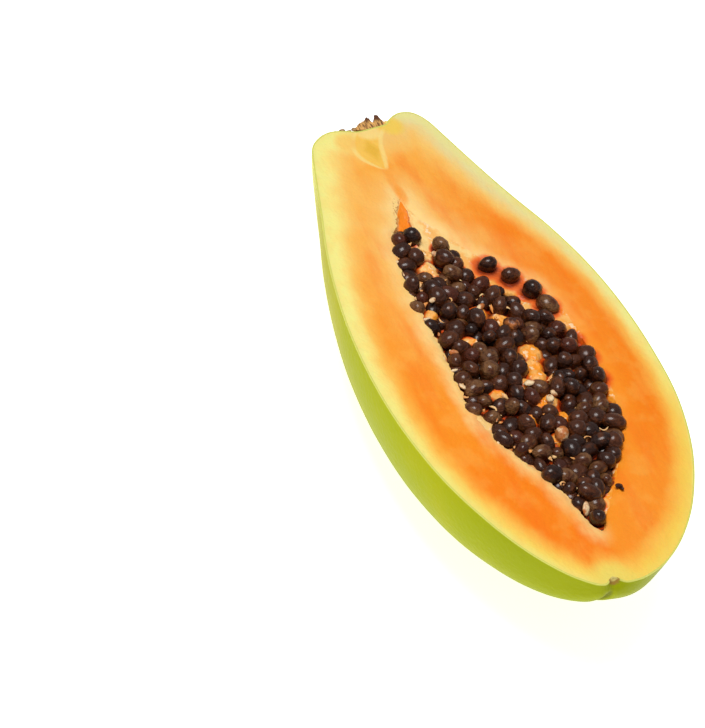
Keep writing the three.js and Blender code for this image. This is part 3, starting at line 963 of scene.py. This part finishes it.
TORN_EDGE = [  # place along Y, and how far along X the torn end reaches there
    [-8.0, -94.2],
    [-7.0, -94.9],
    [-6.0, -95.9],
    [-4.8, -96.6],
    [-3.2, -97.4],
    [-2.0, -98.6],
    [-1.4, -98.4],
    [-0.9, -96.6],
    [-0.1, -96.4],
    [0.6, -98.0],
    [1.4, -99.8],
    [2.2, -99.2],
    [2.8, -97.2],
    [3.4, -95.6],
]
STUB_SEAT = -93.9
STUB_MIDDLE = -2.3
STUB_TIP = -99.7
STUB_DEPTH = 5.4
BELOW_CUT = 0.12  # keeps the stub's top from lying in the plane of the flesh
STUB_LEVELS = 22
STUB_POINTS = 110
level = np.linspace(0, 1, STUB_LEVELS)[:, None]
narrow = np.sqrt(1 - level**2)
torn_y, torn_x = spline_through(TORN_EDGE, np.linspace(0, 1, STUB_POINTS)).T
reach = np.maximum(STUB_SEAT - torn_x, 0.3)
uneven = 0.55 + 0.45 * np.cos(7 * level + torn_y * 2.1) * np.cos(9 * level - torn_y)
length = reach * (1 - level * (1 - uneven)) * (0.35 + 0.65 * narrow)
length *= 1 + 0.08 * np.sin(9 * torn_y + 20 * level)
stub_y = STUB_MIDDLE + (torn_y - STUB_MIDDLE) * (0.15 + 0.85 * narrow)
stub_z = -STUB_DEPTH * level - BELOW_CUT
torn_side = points_at(STUB_SEAT - length, stub_y, stub_z)
seat_side = points_at(STUB_SEAT + 0.6, stub_y, stub_z)[:, ::-1]
stub_rings = np.concatenate([torn_side, seat_side], axis=1)
ends = np.concatenate([stub_rings[:1], stub_rings[-1:]])
folded = (ends + ends[:, ::-1]) / 2
stub_rings = np.concatenate([folded[:1], stub_rings, folded[1:]])
stub_rings[..., 0] = np.maximum(stub_rings[..., 0], STUB_TIP)
torn_stub = add_mesh("torn_stub", stub_rings, loft(STUB_LEVELS + 2, 2 * STUB_POINTS))
surface, place = new_material(torn_stub, {"Roughness": 0.8})
x, _, _ = place.parts()
grain = place.lengthened().noise(1.6, detail=4.0)
stub_colour = grain.rise(0.32, 0.6).mix(colour(104, 58, 26), colour(236, 178, 100))
stub_colour = (1 - x.rise(-98.4, -96)).mix(stub_colour, colour(98, 54, 24))
stub_colour.feed(surface, "Base Color")
grain.bump(0.6).feed(surface, "Normal")
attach(torn_stub, "root")
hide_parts("stem_stub")


# Scraps of the stem: small dry bits of the stalk's bark, left on the shoulder of the fruit beside
# the stub.

SCRAPS = np.array(  # centre and three half lengths
    [
        [-93.7, -12.6, -0.4, 0.7, 1.3, 0.5],
        [-93.3, -10.6, -0.5, 0.4, 1.4, 0.5],
        [-93.4, -15.4, -0.6, 0.5, 1.3, 0.5],
        [-94.2, -8.2, -0.6, 0.6, 0.9, 0.6],
    ]
)
UNTURNED = np.array([0, 0, 0, 0.1, 1])
scrap_shapes = UNTURNED + SCRAPS[:, :1] * [0.01, 0, 0, 0, 0]
scrap_points, scrap_faces = lumps(SCRAPS[:, :3], SCRAPS[:, 3:], scrap_shapes)
scraps = add_mesh("stem_scraps", scrap_points, scrap_faces, sharp=80)
surface, place = new_material(scraps, {"Roughness": 0.8})
brown = place.noise(0.7, detail=3.0).rise(0.4, 0.6)
brown.mix(colour(120, 84, 50), colour(186, 148, 104)).feed(surface, "Base Color")
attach(scraps, "root")
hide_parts("stem_stub")


# Collar: the soft yellow flesh that closed round the stalk, left standing beside it as two small
# lumps.

COLLAR = np.array(  # centre and three half lengths
    [
        [-95.0, 4.3, -1.3, 2.2, 2.5, 1.25],
        [-94.2, 6.6, -1.3, 1.5, 2.0, 1.25],
    ]
)
collar_shapes = np.tile(UNTURNED, (len(COLLAR), 1))
collar_points, collar_faces = lumps(COLLAR[:, :3], COLLAR[:, 3:], collar_shapes)
collar = add_mesh("stalk_collar", collar_points, collar_faces, sharp=80)
surface, place = new_material(collar, {"Roughness": 0.45, "Specular IOR Level": 0.2})
soft = place.noise(0.5, detail=2.0).rise(0.35, 0.65)
soft.mix(colour(244, 204, 84), colour(248, 216, 110)).feed(surface, "Base Color")
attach(collar, "root")
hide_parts("stem_stub")


# Stage: a plain white floor, which glows a little so that it is as even as a sheet of paper, and
# soft light from overhead.

bpy.ops.mesh.primitive_plane_add(size=200)
floor = bpy.context.object
floor.name = "floor"
white = {"Roughness": 1, "Base Color": (1, 1, 1, 1), "Emission Color": (1, 1, 1, 1)}
new_material(floor, {**white, "Emission Strength": 0.8})

key = bpy.data.lights.new("key", "AREA")
key.size = 0.5
key.energy = 10
key_object = bpy.data.objects.new("key", key)
key_object.location = (0, -0.3, 1.1)
key_object.rotation_euler = key_object.location.to_track_quat("Z", "Y").to_euler()
bpy.context.scene.collection.objects.link(key_object)

world = bpy.data.worlds.new("world")
world.use_nodes = True
world.node_tree.nodes["Background"].inputs["Color"].default_value = (1, 1, 1, 1)
world.node_tree.nodes["Background"].inputs["Strength"].default_value = 0.27
bpy.context.scene.world = world
bpy.context.scene.view_settings.view_transform = "Standard"


# Camera: far off with a long lens, above the near side of the half and towards its blossom end,
# as in the photo.

CAMERA_DISTANCE = 1.22222
OFF_MIDDLE = (132.989, 26.647)  # pixels from the middle of the view to the aim
LENS_PIXELS = 4083.7  # the lens's focal length in pixels of the view
right = Vector((0.40043541, 0.87396899, 0.2753719))
up = Vector((-0.69656013, 0.09507276, 0.71117168))
back = Vector((0.59536163, -0.47659141, 0.64684245))
aim = Vector((0, -4.45, REST_DEPTH)) / 1000
straight = Matrix((right, up, back)).transposed()
offset = Vector((*OFF_MIDDLE, -LENS_PIXELS)).rotation_difference(Vector((0, 0, -1)))
camera_data = bpy.data.cameras.new("camera")
camera_data.sensor_width = 36
camera_data.lens = 201.94
camera = bpy.data.objects.new("camera", camera_data)
turned = (straight @ offset.to_matrix()).to_4x4()
turned.translation = aim + CAMERA_DISTANCE * back
camera.matrix_world = turned
bpy.context.scene.collection.objects.link(camera)
bpy.context.scene.camera = camera
